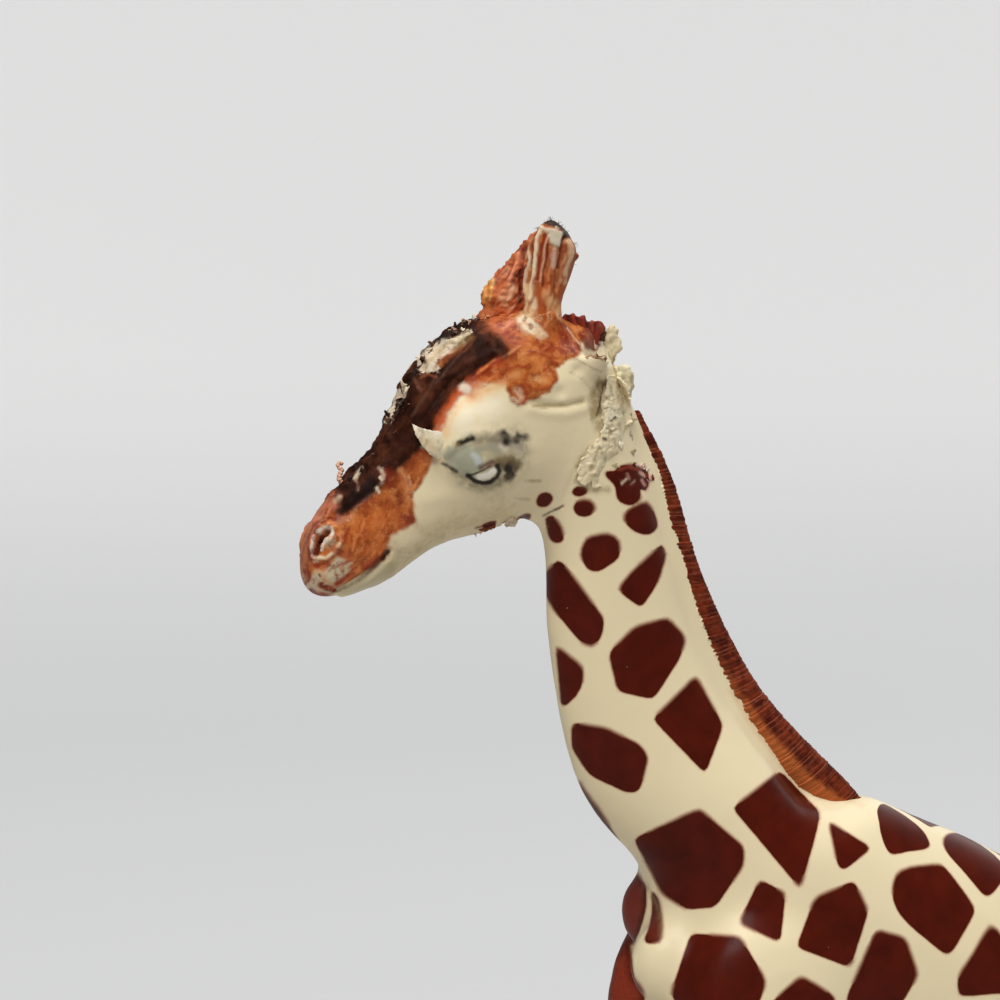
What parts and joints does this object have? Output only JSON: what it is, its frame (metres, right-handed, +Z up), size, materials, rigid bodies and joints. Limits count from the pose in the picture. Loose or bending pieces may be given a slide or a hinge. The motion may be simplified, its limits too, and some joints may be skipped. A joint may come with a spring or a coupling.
{
  "type": "toy giraffe figure",
  "caption": "Standing toy giraffe in painted soft plastic, with a plugged-on head, horns, legs and tail, chewed about the head and with its ears torn off.",
  "frame": {"origin": "on the ground, under the middle of the figure's box", "axes": "+Z up, -X the way the figure faces, -Y its left side"},
  "size_m": [0.1122, 0.0306, 0.1705],
  "materials": {
    "cream_plastic": "semi-gloss soft plastic, cream coat with sprayed dark brown patches and orange shading",
    "horn_brown": "orange-brown paint rubbed off the ribs, dark worn tip",
    "torn_plastic": "bare torn cream plastic",
    "dark_brown": "dark brown paint over combed grooves"
  },
  "bodies": {
    "root": {"trunk": "cream_plastic", "head": "cream_plastic", "front_left_leg": "cream_plastic", "front_right_leg": "cream_plastic", "rear_left_leg": "cream_plastic", "rear_right_leg": "cream_plastic", "left_horn": "horn_brown", "right_horn": "horn_brown", "left_ear": "torn_plastic", "right_ear": "torn_plastic", "tail": "dark_brown"}
  },
  "joints": []
}
